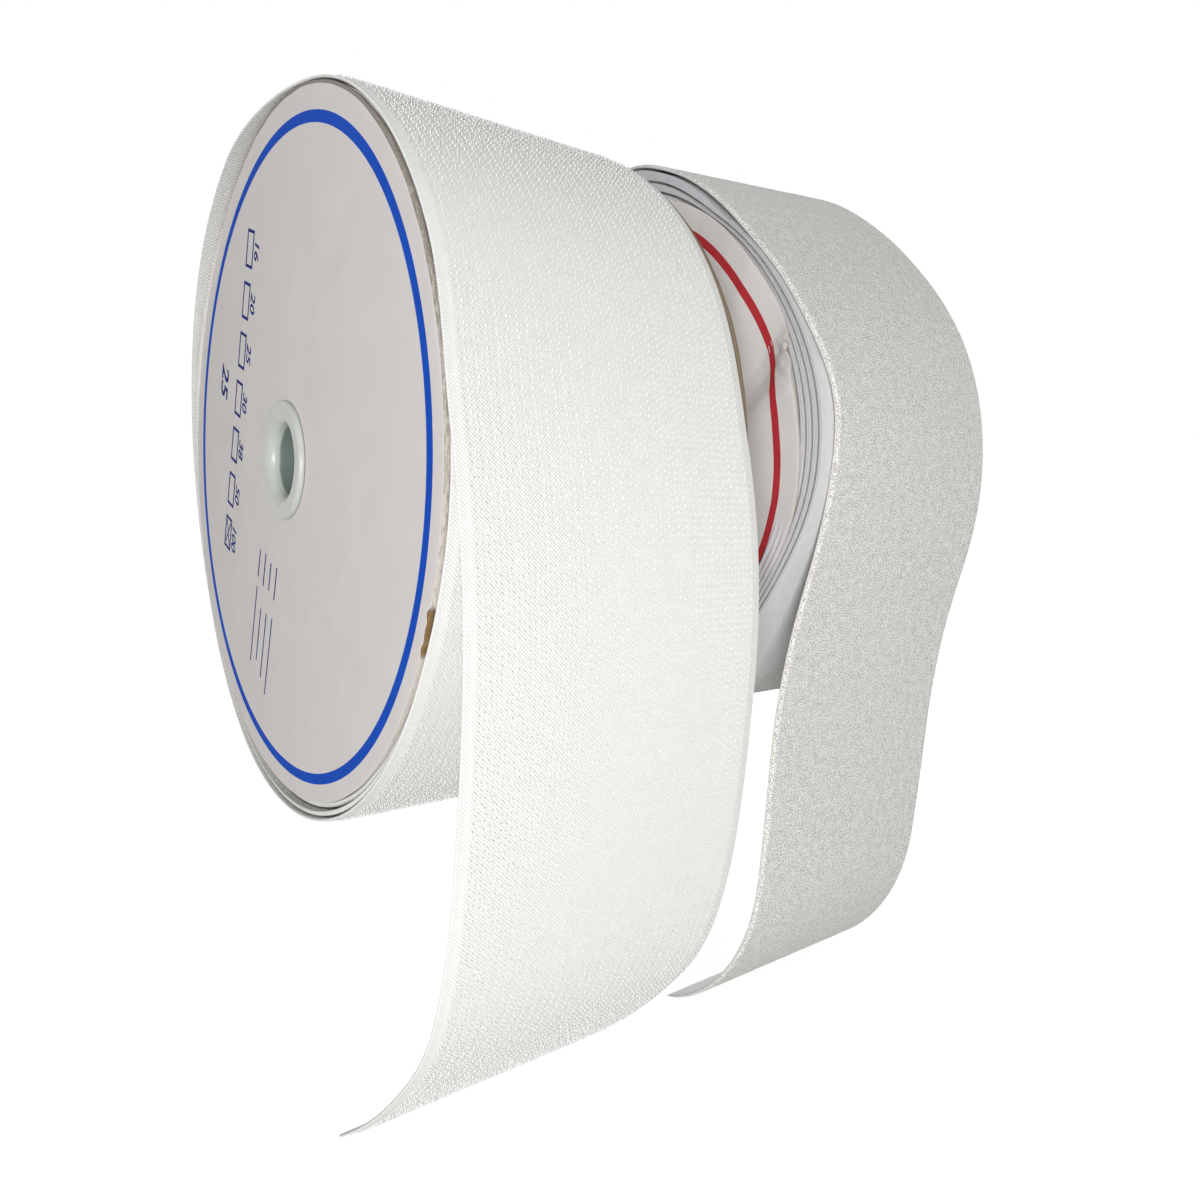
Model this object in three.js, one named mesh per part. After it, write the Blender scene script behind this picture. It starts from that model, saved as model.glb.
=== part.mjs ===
// A pair of hook and loop tape rolls: each is one tape wound on a card core between two card boards,
// with plastic hub bushes and a free tail. Millimetres, Z up, the rolls turn about Y, the tails hang at +X.
import * as THREE from 'three';

// Driving dimensions. Those that start with HOOK or LOOP are of one roll, the others of both
const TAPE_WIDTH = 100;
const TAPE_LENGTH = 25000;
const CORE_RADIUS = 19;
const CORE_WALL = 4.2;
const HOOK_BOARD_RADIUS = 118.5;
const LOOP_BOARD_RADIUS = 110.3;
const BOARD_THICKNESS = 1.7;
const LABEL_THICKNESS = 0.25;
const PLUG_WALL = 2.5;
const PLUG_LENGTH = 24;
const PLUG_TAPER = 2.5;
const FLANGE_LIP = 1.4;
const FLANGE_THICKNESS = 2;
const MOUTH_FLARE = 2.6;
const MOUTH_DEPTH = 5.2;
const GAP = 0.3;
const TURN_SEAT = 0.55;
const HOOK_PROUD = 2.5;
const LOOP_PROUD = 6.3;
const HOOK_THICKNESS = 1.3;
const LOOP_THICKNESS = 1.2;
const HOOK_SLIP = 4.5;
const ROLL_APART = 47.4;

// Sizes of the hub bush, which fits in the core tube with its flange past the tube's wall
const PLUG_RADIUS = CORE_RADIUS - CORE_WALL - GAP;
const BORE_RADIUS = PLUG_RADIUS - PLUG_WALL;
const FLANGE_RADIUS = CORE_RADIUS + FLANGE_LIP;
const MOUTH_RADIUS = PLUG_RADIUS + MOUTH_FLARE;

// Steps of the round and wound forms, and the share of a turn over which the tape slips
const RING_STEPS = 96;
const HUB_STEPS = 32;
const CORE_STEPS = 48;
const TURN_STEPS = 48;
const TAIL_STEP = 8;
const SLIP_TURN = 0.2;

// The two rolls. Angles are in degrees from the front (+X) towards the top (+Z). The outer turns are loose:
// slack is how far they stand off at slackAt, and a higher slackPower keeps that nearer to slackAt. slip is
// how far the last turn and the tail lie in front of the rest. The tape comes over the top to the front;
// leave is where its tail starts. The tail's arcs are [length, turn towards the back], with each length as a
// share of the roll's radius.
const ROLLS = [
  {
    name: 'hook', at: [0, 0, 0], board: HOOK_BOARD_RADIUS, radius: HOOK_BOARD_RADIUS + HOOK_PROUD,
    thickness: HOOK_THICKNESS, turns: 4, slack: 5.6, slackAt: 270, slackPower: 1, slip: HOOK_SLIP,
    leave: 30.5,
    tail: [[0.4132, 12.3], [0.5785, 18], [0.4132, 4.9], [0.2893, 11], [0.2479, 21], [0.6157, 15.3]],
    face: 0xf0f0ee,
  },
  {
    name: 'loop', at: [-9.1, TAPE_WIDTH + ROLL_APART, 7], board: LOOP_BOARD_RADIUS,
    radius: LOOP_BOARD_RADIUS + LOOP_PROUD, thickness: LOOP_THICKNESS, turns: 6, slack: 4, slackAt: 8,
    slackPower: 8, slip: 0, leave: 116.8,
    tail: [[0.5146, 20], [0.5146, 40], [0.5146, 23.1], [0.5146, 29], [0.4288, 19.6], [0.6003, -14.3],
      [0.4288, 1.5], [0.3431, 25.7], [0.4468, 37.3]],
    face: 0xdcddd6,
  },
];

const rad = THREE.MathUtils.degToRad;
const part = new THREE.Group();
part.name = 'hook_and_loop_tape_rolls';

const CARD = { color: 0xa98a66, roughness: 0.9, metalness: 0 };
const PAPER = { color: 0xd2cfca, roughness: 0.75, metalness: 0 };
const PLASTIC = { color: 0xd8dad5, roughness: 0.4, metalness: 0 };

function add(name, geometry, at, finish) {
  geometry.translate(...at);
  const mesh = new THREE.Mesh(geometry, new THREE.MeshStandardMaterial(finish));
  mesh.name = name;
  part.add(mesh);
}

// A ring turned about Y from a closed section of [radius, y] points, listed with the material on the left
function ring(section, steps) {
  const points = [...section, section[0]].map(([r, y]) => new THREE.Vector2(r, y));
  return new THREE.LatheGeometry(points, steps);
}

function plainRing(inner, outer, y0, y1, steps) {
  return ring([[inner, y0], [outer, y0], [outer, y1], [inner, y1]], steps);
}

// A flanged bush at the rear end; seat is the face that its flange lies on
function hub(seat) {
  const under = seat + GAP;
  const top = under + FLANGE_THICKNESS;
  const end = seat - PLUG_LENGTH;
  const round = FLANGE_THICKNESS * 0.4;
  return ring([
    [BORE_RADIUS, end], [PLUG_RADIUS - PLUG_WALL * 0.4, end], [PLUG_RADIUS, end + PLUG_TAPER],
    [PLUG_RADIUS, under], [FLANGE_RADIUS, under], [FLANGE_RADIUS, top - round], [FLANGE_RADIUS - round, top],
    [MOUTH_RADIUS, top], [BORE_RADIUS, top - MOUTH_DEPTH],
  ], HUB_STEPS);
}

// A strip of tape as wide as TAPE_WIDTH between two lists of [x, z] points, its outer and inner faces; shift
// is how far each place lies in front of the roll's middle
function strip(outer, inner, shift) {
  const half = TAPE_WIDTH / 2;
  const vertices = [];
  const faces = [];
  outer.forEach(([x, z], i) => {
    const [u, w] = inner[i];
    const near = -half - shift[i];
    const far = half - shift[i];
    vertices.push(x, near, z, x, far, z, u, far, w, u, near, w);
  });
  const quad = (a, b, c, d) => faces.push(a, b, c, a, c, d);
  quad(0, 1, 2, 3);
  for (let i = 0; i < outer.length - 1; i += 1) {
    for (let k = 0; k < 4; k += 1) {
      const a = 4 * i + k;
      const b = 4 * i + (k + 1) % 4;
      quad(b, a, a + 4, b + 4);
    }
  }
  const last = 4 * (outer.length - 1);
  quad(last + 3, last + 2, last + 1, last);
  const geometry = new THREE.BufferGeometry();
  geometry.setAttribute('position', new THREE.Float32BufferAttribute(vertices, 3));
  geometry.setIndex(faces);
  geometry.computeVertexNormals();
  return geometry;
}

// Radius of the outer face after t turns of the outer winding, which ends at the leaving line
function turnRadius(roll, t) {
  const pitch = Math.PI * (roll.radius ** 2 - CORE_RADIUS ** 2) / TAPE_LENGTH;
  const angle = rad(roll.leave - roll.slackAt) - 2 * Math.PI * t;
  const loose = roll.slack * (t / roll.turns) * ((1 + Math.cos(angle)) / 2) ** roll.slackPower;
  return roll.radius - pitch * (roll.turns - t) + loose;
}

// The outer turns; they slip forwards over the first SLIP_TURN of the last one
function windTurns(roll) {
  const outer = [];
  const inner = [];
  const shift = [];
  for (let i = 0; i <= roll.turns * TURN_STEPS; i += 1) {
    const t = i / TURN_STEPS;
    const angle = rad(roll.leave) - 2 * Math.PI * t;
    const r = turnRadius(roll, t);
    outer.push([r * Math.cos(angle), r * Math.sin(angle)]);
    inner.push([(r - roll.thickness) * Math.cos(angle), (r - roll.thickness) * Math.sin(angle)]);
    shift.push(roll.slip * THREE.MathUtils.smoothstep(t, roll.turns - 1, roll.turns - 1 + SLIP_TURN));
  }
  return { outer, inner, shift };
}

// The tail leaves the roll along its tangent, GAP past the last turn, and follows the roll's list of arcs
function hangTail(roll) {
  const r = turnRadius(roll, roll.turns);
  let lean = -rad(roll.leave);
  let x = r * Math.cos(lean) - GAP * Math.sin(lean);
  let z = -r * Math.sin(lean) - GAP * Math.cos(lean);
  const outer = [];
  const inner = [];
  const mark = () => {
    outer.push([x, z]);
    inner.push([x - roll.thickness * Math.cos(lean), z + roll.thickness * Math.sin(lean)]);
  };
  mark();
  for (const [share, turn] of roll.tail) {
    const length = share * roll.radius;
    const steps = Math.ceil(length / TAIL_STEP);
    for (let i = 0; i < steps; i += 1) {
      const middle = lean + rad(turn) / steps / 2;
      x -= Math.sin(middle) * length / steps;
      z -= Math.cos(middle) * length / steps;
      lean += rad(turn) / steps;
      mark();
    }
  }
  return { outer, inner, shift: outer.map(() => roll.slip) };
}

function distance([px, pz], [ax, az], [bx, bz]) {
  const t = ((px - ax) * (bx - ax) + (pz - az) * (bz - az)) / ((bx - ax) ** 2 + (bz - az) ** 2);
  const s = Math.min(1, Math.max(0, t));
  return Math.hypot(px - ax - s * (bx - ax), pz - az - s * (bz - az));
}

// Least distance from the points of one line to the segments of another that are at least apart steps away
function leastGap(points, line, apart) {
  let least = Infinity;
  points.forEach((p, i) => {
    for (let j = 0; j < line.length - 1; j += 1) {
      if (Math.abs(i - j) >= apart) least = Math.min(least, distance(p, line[j], line[j + 1]));
    }
  });
  return least;
}

for (const roll of ROLLS) {
  const half = TAPE_WIDTH / 2;
  const boardIn = half + GAP;
  const boardOut = boardIn + BOARD_THICKNESS;
  const hole = PLUG_RADIUS + GAP;
  const name = (piece) => `${roll.name}_${piece}`;

  add(name('core_tube'), plainRing(CORE_RADIUS - CORE_WALL, CORE_RADIUS, -half, half, CORE_STEPS),
    roll.at, CARD);
  add(name('hub_front'), hub(boardOut + LABEL_THICKNESS).rotateX(Math.PI), roll.at, PLASTIC);
  add(name('hub_rear'), hub(boardOut), roll.at, PLASTIC);
  add(name('board_front'), plainRing(hole, roll.board, -boardOut, -boardIn, RING_STEPS), roll.at, CARD);
  add(name('label_front'), plainRing(hole, roll.board, -boardOut - LABEL_THICKNESS, -boardOut, RING_STEPS),
    roll.at, PAPER);
  add(name('board_rear'), plainRing(hole, roll.board, boardIn, boardOut, RING_STEPS), roll.at, CARD);

  const turns = windTurns(roll);
  const tail = hangTail(roll);
  const tape = { color: roll.face, roughness: 0.85, metalness: 0 };
  const packRadius = turnRadius(roll, 0) - roll.thickness - TURN_SEAT;
  add(name('inner_turns'), plainRing(CORE_RADIUS + GAP, packRadius, -half, half, RING_STEPS), roll.at, tape);
  add(name('outer_turns'), strip(turns.outer, turns.inner, turns.shift), roll.at, tape);
  add(name('tail'), strip(tail.outer, tail.inner, tail.shift), roll.at, tape);

  const between = leastGap(turns.inner, turns.outer, TURN_STEPS / 2);
  const under = leastGap(tail.inner.slice(1), turns.outer, 0);
  console.log(`${roll.name}: turn to turn ${between.toFixed(2)} mm, tail to turns ${under.toFixed(2)} mm`);
}

export default part;
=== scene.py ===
"""Looks of a pair of hook and loop tape rolls. Sizes are in millimetres and become metres in the meshes."""
from collections import namedtuple

import bpy
import numpy as np
from mathutils import Euler, Matrix, Vector


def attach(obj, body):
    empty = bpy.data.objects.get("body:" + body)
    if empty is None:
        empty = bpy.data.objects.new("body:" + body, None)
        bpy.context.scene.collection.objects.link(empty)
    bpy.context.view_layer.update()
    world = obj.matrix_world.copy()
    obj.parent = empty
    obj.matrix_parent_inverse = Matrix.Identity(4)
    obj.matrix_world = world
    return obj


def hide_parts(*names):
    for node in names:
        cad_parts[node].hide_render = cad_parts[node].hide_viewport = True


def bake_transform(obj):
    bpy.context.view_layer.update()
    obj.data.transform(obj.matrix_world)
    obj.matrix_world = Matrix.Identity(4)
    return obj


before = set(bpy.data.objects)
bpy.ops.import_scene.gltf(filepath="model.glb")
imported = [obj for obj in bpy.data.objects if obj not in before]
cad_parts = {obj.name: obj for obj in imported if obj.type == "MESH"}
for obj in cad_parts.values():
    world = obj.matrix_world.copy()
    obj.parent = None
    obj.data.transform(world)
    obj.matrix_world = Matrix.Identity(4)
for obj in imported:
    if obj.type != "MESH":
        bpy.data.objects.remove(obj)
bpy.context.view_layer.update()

MM = 0.001

# Sizes as the part's source has them
WIDTH = 100.0
HALF = WIDTH / 2
TAPE_LENGTH = 25000.0
CORE_RADIUS, CORE_BORE = 19.0, 14.8
BOARD_IN, BOARD_OUT = 50.3, 52.0
LABEL_OUT = 52.25
HUB_BORE, PLUG_RADIUS, FLANGE_RADIUS, PLUG_LENGTH = 12.0, 14.5, 20.4, 24.0

# The two rolls. Angles are in degrees from the front (+X) towards the top (+Z). The slack of the outer
# turns is largest at slack_at, a higher slack_power keeps it nearer to that place, and it grows with the
# turn's share of all turns to the power slack_share. The tape is a weave with hooks or loops on it,
# between two bare selvages. The tail's arcs are lengths, each with its turn towards the back. The front
# board is torn at torn_at, over about torn_wide.
HOOK = dict(
    name="hook", at=(0.0, 0.0, 0.0), radius=121.0, turns=4, leave=30.5,
    slack=6.6, slack_at=255.0, slack_power=3, slack_share=0.4,
    weave=1.0, pile=0.72, selvage=2.9, torn_at=-18.6, torn_wide=1.6,
    tail=((50, 12.3), (70, 18), (50, 4.9), (35, 11), (30, 21), (74.5, 15.3)),
)
LOOP = dict(
    name="loop", at=(-9.1, 147.4, 7.0), radius=116.6, turns=6, leave=116.8,
    slack=7.0, slack_at=6.5, slack_power=18, slack_share=1,
    weave=0.75, pile=0.8, selvage=6.0, torn_at=24.6, torn_wide=0.9,
    tail=((60, 20), (60, 40), (60, 23.1), (60, 29), (50, 19.6), (70, -14.3), (50, 1.5), (40, 25.7),
          (52.1, 37.3)),
)

# Soft ranges: each rises over its first pair and falls over its second. They are angles, but the range of
# the last loop turn's pressed strip of painted light counts turns. A room is where loose turns leave space
# that the hooks or loops fill
HOOK_SUNK = (-15, 25), (105, 140)
HOOK_SUNK_ROOM = (5, 25), (105, 140)
HOOK_LOOSE_ROOM = (165, 205), (290, 335)
HOOK_SLIP_UPPER = (78, 116), (128, 218)
HOOK_SLIP_LOWER = (225, 270), (320, 360)
LOOP_RAISED = (56, 88), (92, 125)
LOOP_PUSHED = (-125, -60), (-30, -1)
LOOP_LOOSE_ROOM = (45, 80), (112, 140)
LOOP_PRESSED_PAINTED_LIGHT = (5.15, 5.4), (5.55, 5.75)

# How far the turns go there: hook turns sunk and slipped, loop turns raised, squeezed, pushed and tapered
SUNK = 2.0
SLIP, SLIP_UPPER, SLIP_LOWER, TAIL_SLIP = 1.6, 5.9, 0.8, 5.0
RAISED, SQUEEZED, PUSHED, TAPER = 7.0, 2.2, 4.4, 3.2

# The loop tail lies askew: places along it, the heights of its two edges there and how far it lies forward
ASKEW_PLACES = (0, 40, 60, 80, 110, 145, 190, 225, 270, 340, 502)
ASKEW_FRONT = (0, 6, 4.6, -1.4, -6.2, -8.6, -5.8, -2.2, -4.9, -1.4, -0.6)
ASKEW_REAR = (0, 9, 12.5, 6.5, 0, -2.7, -3.2, -5.5, -4.4, 0, -1)
ASKEW_FORWARD = (0, 0, 0, 0, 0, -1.5, -2.6, -6.3, -5.8, -0.2, 0)

# Selvages of the loop tail and of the last loop turn, how far from its middle the tail is napped, and the
# places across the pile of both
LOOP_TAIL_SELVAGE, LOOP_LAST_SELVAGE = 1.2, 8.0
LOOP_TAIL_NAP = 48.3
LOOP_PLACES = 68

# The last loop turn: where its selvages narrow, in turns, the height of its pressed pile and how wide a
# strip of it shows the paler bare weave instead of pile, as painted light
LOOP_NARROWING = 5.45, 5.95
PRESSED_TOP, PAINTED_LIGHT_WIDE = -0.78, 32

# Top of the weave that carries the hooks, from their tips
HOOK_FOOT = -0.55

# How far past the leaving line each tail bends when it is lifted
HOOK_BEND, LOOP_BEND = 45, 60

# Hooks: their height, their spacing along and across the tape, and their first and last column
HOOK_TALL = 0.66
ROW_PITCH, COLUMN_PITCH = 1.95, 1.56
COLUMN_FIRST, COLUMN_LAST = -46.2, 47.9

# Steps a turn of the inner windings, the outer windings and the last loop turn, and along the two tails
INNER_ROUND, ROUND, LAST_ROUND = 48, 300, 560
HOOK_STEP, LOOP_STEP = 1.5, 1.4

# Slots of a tape's materials, and how much of its top counts as its edge
PILE, WEAVE, EDGE = 0, 1, 2
EDGE_WIDTH = 0.8

# A tape's route: points of its outer face in X and Z, their outward normals, the length run so far, how
# far it lies forward, and the heights of its front and rear edges
Route = namedtuple("Route", "points normals length forward edges")


# Smooth steps

def ease(value, low, high):
    """0 below low, 1 above high and a smooth step between."""
    u = np.clip((value - low) / (high - low), 0, 1)
    return u * u * (3 - 2 * u)


def between(value, rise, fall):
    """1 inside a soft range and 0 outside: a smooth step up over rise and down over fall."""
    return ease(value, *rise) * (1 - ease(value, *fall))


def swell(angle, middle, power):
    """1 at the middle angle, given in degrees, falling to 0 on the far side: a raised cosine to a
    power."""
    return ((1 + np.cos(angle - np.radians(middle))) / 2) ** power


def signed(degrees):
    """The same angle from -180 to 180 degrees."""
    return (degrees + 180) % 360 - 180


# Meshes

def place(name, data):
    """A new object in the scene, at the origin."""
    made = bpy.data.objects.new(name, data)
    bpy.context.scene.collection.objects.link(made)
    return made


def mesh_from(name, points, corners, counts):
    """A smooth mesh from points in mm, the corners of its faces in one list and each face's count of
    corners."""
    mesh = bpy.data.meshes.new(name)
    mesh.vertices.add(len(points))
    mesh.vertices.foreach_set("co", (points * MM).ravel())
    mesh.loops.add(len(corners))
    mesh.loops.foreach_set("vertex_index", corners.astype(np.int32))
    mesh.polygons.add(len(counts))
    mesh.polygons.foreach_set("loop_start", (np.cumsum(counts) - counts).astype(np.int32))
    mesh.polygons.foreach_set("use_smooth", np.ones(len(counts), bool))
    mesh.update(calc_edges=True)
    return mesh


def build(name, grid, faces, materials, slots=None, uv=None, raw=None):
    """One closed body from a grid of points in mm and an array of quads. If its signed volume is
    negative, its quads are reversed, so that every face points outwards. Edges over 35 degrees are
    sharp."""
    points = grid.reshape(-1, 3)
    a, b, c, d = (points[faces[:, k]] for k in range(4))
    if np.einsum("ij,ij->i", a, np.cross(b, c) + np.cross(c, d)).sum() < 0:
        faces = faces[:, ::-1]
    mesh = mesh_from(name, points, faces.ravel(), np.full(len(faces), 4))
    if slots is not None:
        mesh.polygons.foreach_set("material_index", slots.astype(np.int32))
    if uv is not None:
        mesh.uv_layers.new(name="tape").data.foreach_set("uv", uv.reshape(-1, 2)[faces.ravel()].ravel())
    if raw is not None:
        mesh.attributes.new("raw", "FLOAT", "POINT").data.foreach_set("value", raw.ravel())
    mesh.set_sharp_from_angle(angle=np.radians(35))
    for material in materials:
        mesh.materials.append(material)
    return place(name, mesh)


def small_bodies(name, points, faces, material):
    """Many small bodies in one mesh, from points in mm and quads. A quad that repeats its last point is a
    triangle."""
    three = faces[:, 2] == faces[:, 3]
    corners = np.concatenate([faces[~three].ravel(), faces[three][:, :3].ravel()])
    counts = np.concatenate([np.full((~three).sum(), 4), np.full(three.sum(), 3)])
    mesh = mesh_from(name, points.reshape(-1, 3), corners, counts)
    mesh.materials.append(material)
    return place(name, mesh)


def quads(rows, columns, wrap_rows=False):
    """Quads of a grid whose columns close on themselves; wrap_rows closes the rows too."""
    i = np.arange(rows if wrap_rows else rows - 1)[:, None]
    j = np.arange(columns)[None, :]
    k, m = (i + 1) % rows, (j + 1) % columns
    corners = [i * columns + j, k * columns + j, k * columns + m, i * columns + m]
    return np.stack(corners, -1).reshape(-1, 4)


# The tape's route

def pitch(roll):
    """Radius gained in one turn, at which the whole tape fills the ring from the core to the roll's
    radius."""
    return np.pi * (roll["radius"] ** 2 - CORE_RADIUS ** 2) / TAPE_LENGTH


def turn_angle(roll, t):
    """Angle from 0 to 360 degrees that the tape has reached after t turns of the outer winding."""
    return (roll["leave"] - 360 * t) % 360


def turn_radius(roll, t):
    """Outer radius after t turns of the outer winding: it grows by one pitch a turn, and by a slack that
    rises with t and is largest at slack_at. The hook turns under the last one are sunk at the upper
    front. The loop turns are squeezed a little all round, and the last of them are raised at the top."""
    share = np.clip(t / roll["turns"], 0, None) ** roll["slack_share"]
    angle = turn_angle(roll, t)
    loose = roll["slack"] * share * swell(np.radians(angle), roll["slack_at"], roll["slack_power"])
    if roll is HOOK:
        sunk = between(signed(angle), *HOOK_SUNK) * (1 - ease(t, 3, 3.15))
        loose = loose - SUNK * sunk * np.interp(t, (-40, 2), (0, 1))
    else:
        raised = between(angle, *LOOP_RAISED) * ease(roll["turns"] - t, 0, 0.2)
        loose = loose + RAISED * raised * np.interp(t, (2.5, 4.1, 5.1), (0, 0.65, 1))
        loose = loose - SQUEEZED * np.interp(t, (-30, 0), (0, 1)) * (1 - ease(t, 5.4, 6))
    return roll["radius"] - pitch(roll) * (roll["turns"] - t) + loose


def slipped(roll, t):
    """How far the tape lies in front of the roll's middle after t turns. The last turn of the hook tape
    has slipped forward, most at the upper rear, and so has part of the one before it. The loop turns are
    pushed forward low at the front."""
    angle = turn_angle(roll, t)
    if roll is LOOP:
        return np.where(t > 0, PUSHED * between(signed(angle), *LOOP_PUSHED), 0)
    far = SLIP + SLIP_UPPER * between(angle, *HOOK_SLIP_UPPER)
    far = far + SLIP_LOWER * between(angle, *HOOK_SLIP_LOWER)
    return far * np.interp(t, (2.1, 2.3, 2.6, 2.8, 3.0, 3.15), (0, 0.8, 0.8, 0, 0, 1))


def wound(roll, t):
    """The wound tape's route after t turns: the turn radius along each angle, and the length as the sum
    of the steps. The loose loop turns taper to the rear at the front of the roll."""
    angle = np.radians(roll["leave"]) - 2 * np.pi * t
    normals = np.stack([np.cos(angle), np.sin(angle)], -1)
    points = normals * turn_radius(roll, t)[:, None]
    length = np.concatenate([[0], np.cumsum(np.hypot(*np.diff(points, axis=0).T))])
    taper = -TAPER * swell(angle, 5, 6) * ease(t, 1.5, 5) if roll is LOOP else 0 * t
    return Route(points, normals, length, slipped(roll, t), np.stack([0 * t, taper]))


def hung(roll, step):
    """The tail's route: from the leaving line along the tangent, the lean turning evenly along each arc
    and softened over 9 mm to each side, so that each point is the sum of the short steps before it.
    Normals are square to the lean. The hook tail has slipped forward. The loop tail lies askew, with its
    own edges softened over 17 steps."""
    lengths, turns = np.array(roll["tail"], float).T
    knots = np.concatenate([[0], np.cumsum(lengths)])
    leans = np.radians(-roll["leave"] + np.concatenate([[0], np.cumsum(turns)]))
    s = np.linspace(0, knots[-1], int(round(knots[-1] / step)) + 1)
    lean = np.interp(s, knots, leans)
    soft = np.mean([np.interp(s + near, knots, leans) for near in np.linspace(-9, 9, 13)], axis=0)
    lean = lean + (soft - lean) * np.clip(s / 20, 0, 1)
    middle = (lean[1:] + lean[:-1]) / 2
    steps = np.stack([-np.sin(middle), -np.cos(middle)], -1) * np.diff(s)[:, None]
    start = turn_radius(roll, roll["turns"]) * np.array([np.cos(-lean[0]), np.sin(-lean[0])])
    points = start + np.concatenate([[[0, 0]], np.cumsum(steps, axis=0)])
    normals = np.stack([np.cos(lean), -np.sin(lean)], -1)
    slip = slipped(roll, np.array([float(roll["turns"])]))[0]
    if roll is HOOK:
        return Route(points, normals, s, slip + (TAIL_SLIP - slip) * ease(s, 0, 55), np.zeros((2, len(s))))
    askew = [np.interp(s, ASKEW_PLACES, values) for values in (ASKEW_FRONT, ASKEW_REAR, ASKEW_FORWARD)]
    even = np.ones(17) / 17
    front, rear, forward = (np.convolve(np.pad(line, 8, "edge"), even, "valid") for line in askew)
    return Route(points, normals, s, slip + forward, np.stack([front, rear]) * ease(s, 0, 12))


# The tape

def section(roll, selvage, inner):
    """Places across the tape with their top and under heights, from the tips of the pile: a woven ground
    with rounded edges, and the pile on it between two bare selvages, with this many places on the
    pile."""
    weave, pile = roll["weave"], roll["pile"]
    low = -(weave + pile)
    brink = HALF - selvage
    edge = np.array([HALF, HALF - 0.2, HALF - 0.7, brink + 0.4, brink, brink - 0.5])
    rise = np.array([low + 0.62 * weave, low + 0.92 * weave, low + weave, low + weave,
                     -0.35 * pile, -0.06 * pile])
    sink = np.array([low + 0.38 * weave, low + 0.08 * weave, low, low, low, low])
    inside = np.linspace(-(edge[-1] - 1), edge[-1] - 1, inner)
    across = np.concatenate([-edge, inside, edge[::-1]])
    top = np.concatenate([rise, np.zeros(inner), rise[::-1]])
    under = np.concatenate([sink, np.full(inner, low), sink[::-1]])
    return across, top, under


def tape(name, roll, route, strip, materials, reach, fuzz=None):
    """A strip of tape: its section carried along a route, which it may change along, with both ends
    closed. fuzz is added to the top. The materials are those of the pile, of the bare weave and of the
    edges; reach is how far the pile goes to the front and to the rear of the middle. UV is the length and
    the place across."""
    n, m = len(route.points), np.shape(strip[0])[-1]
    across, top, under = (np.broadcast_to(part, (n, m)) for part in strip)
    y = np.concatenate([across, across[:, ::-1]], 1)
    height = np.concatenate([top, under[:, ::-1]], 1)
    if fuzz is not None:
        height[:, :m] += fuzz
    front, rear = route.edges[:, :, None]
    height += front * (HALF - y) / WIDTH + rear * (HALF + y) / WIDTH
    xz = route.points[:, None, :] + route.normals[:, None, :] * height[:, :, None]
    grid = np.stack([xz[..., 0], y - route.forward[:, None], xz[..., 1]], -1) + np.array(roll["at"])

    j = np.arange(m - 1)
    cap = np.stack([j, j + 1, 2 * m - 2 - j, 2 * m - 1 - j], -1)
    faces = np.concatenate([quads(n, 2 * m), cap, cap[:, ::-1] + (n - 1) * 2 * m])
    middle = (across[:-1, 1:] + across[:-1, :-1]) / 2
    bare = np.where(np.abs(middle) > HALF - EDGE_WIDTH, EDGE, WEAVE)
    covered = (middle > -reach[0]) & (middle < reach[1])
    below = np.full((n - 1, m + 1), WEAVE)
    below[:, [0, -1]] = EDGE
    sides = np.concatenate([np.where(covered, PILE, bare), below], 1).ravel()
    slots = np.concatenate([sides, np.full(len(cap) * 2, EDGE)])
    uv = np.stack([np.broadcast_to(route.length[:, None], (n, 2 * m)), y], -1)
    return build(name, grid, faces, materials, slots, uv)


def filled(roll, t, above, across, room):
    """Height of the hooks or loops that fill a room: the space up to the tape above, less 0.07 mm and at
    most 4 mm, inside the room's soft range. The cut edges stay as they are."""
    space = above - roll["weave"] - roll["pile"] - 0.07 - turn_radius(roll, t)
    space = np.clip(space, 0, 4) * between(turn_angle(roll, t), *room)
    return space[:, None] * (np.abs(across) < HALF - 0.5)


def nap(rows, across, half, seed):
    """Uneven height of the napped face: seeded normal noise, softened along the tape, none on the
    selvages."""
    rng = np.random.default_rng(seed)
    rough = rng.normal(0, 1, (rows, len(across)))
    rough = (rough + np.roll(rough, 1, 0) + np.roll(rough, 1, 1)) / 3
    return np.where(np.abs(across) < half, rough * 0.09 - 0.08, 0)


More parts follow.
